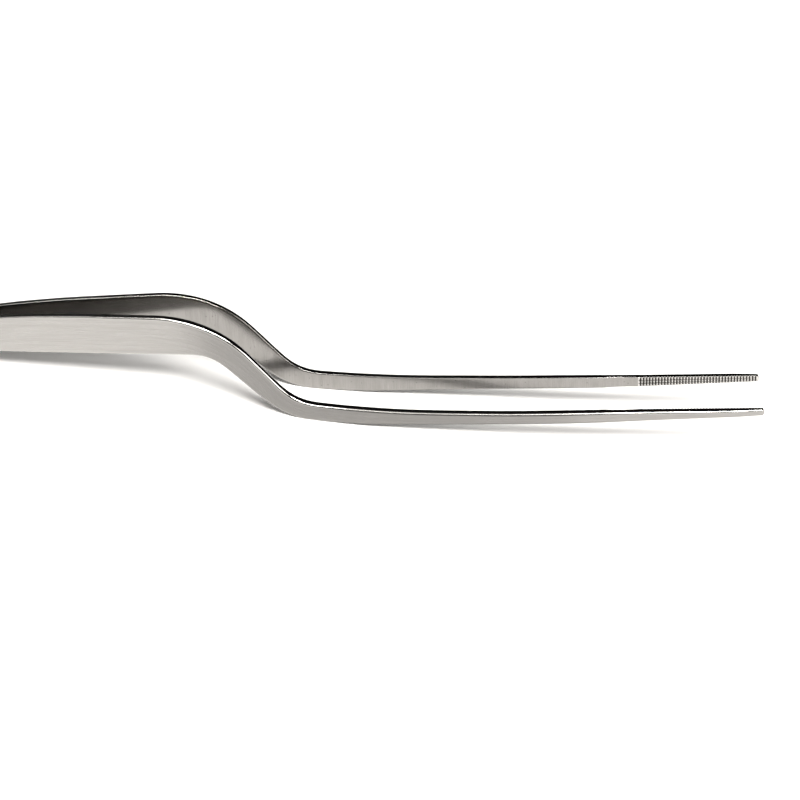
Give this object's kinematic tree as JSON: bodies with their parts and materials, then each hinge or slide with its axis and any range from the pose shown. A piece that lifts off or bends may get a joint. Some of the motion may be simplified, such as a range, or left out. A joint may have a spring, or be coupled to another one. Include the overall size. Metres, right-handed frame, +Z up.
{
  "type": "aquascaping tweezers",
  "caption": "Long offset stainless steel tweezers: two flat sprung arms welded at the butt, a stepped bend and slim serrated jaws for planting in aquariums.",
  "frame": {"origin": "on the ground under the middle of the tool as it rests on its butt corner and both knees", "axes": "+X from the butt towards the tips, +Y from the near arm to the far arm (the opening direction), +Z up"},
  "size_m": [0.26, 0.0216, 0.0252],
  "materials": {
    "arm_steel": "satin brushed faces, polished edges",
    "weld_steel": "ground flush"
  },
  "bodies": {
    "heel": {"near_heel": "arm_steel", "far_heel": "arm_steel", "seam_weld": "weld_steel", "weld_nuggets": "weld_steel"},
    "near_arm": {"near_spring": "arm_steel", "near_blade": "arm_steel"},
    "far_arm": {"far_spring": "arm_steel", "far_blade": "arm_steel"}
  },
  "joints": [
    {"name": "near_arm_flex", "type": "hinge", "parent": "heel", "child": "near_arm", "pos_m": [-0.0994, -0.002, 0.00921], "axis": [-0.1488, 0, 0.9889], "range_deg": [0, 2.14], "stiffness_Nm_per_rad": 9, "deforming": ["near_spring"]},
    {"name": "far_arm_flex", "type": "hinge", "parent": "heel", "child": "far_arm", "pos_m": [-0.0994, 0.002, 0.00921], "axis": [0.1488, 0, -0.9889], "range_deg": [0, 2.14], "stiffness_Nm_per_rad": 9, "deforming": ["far_spring"]}
  ]
}
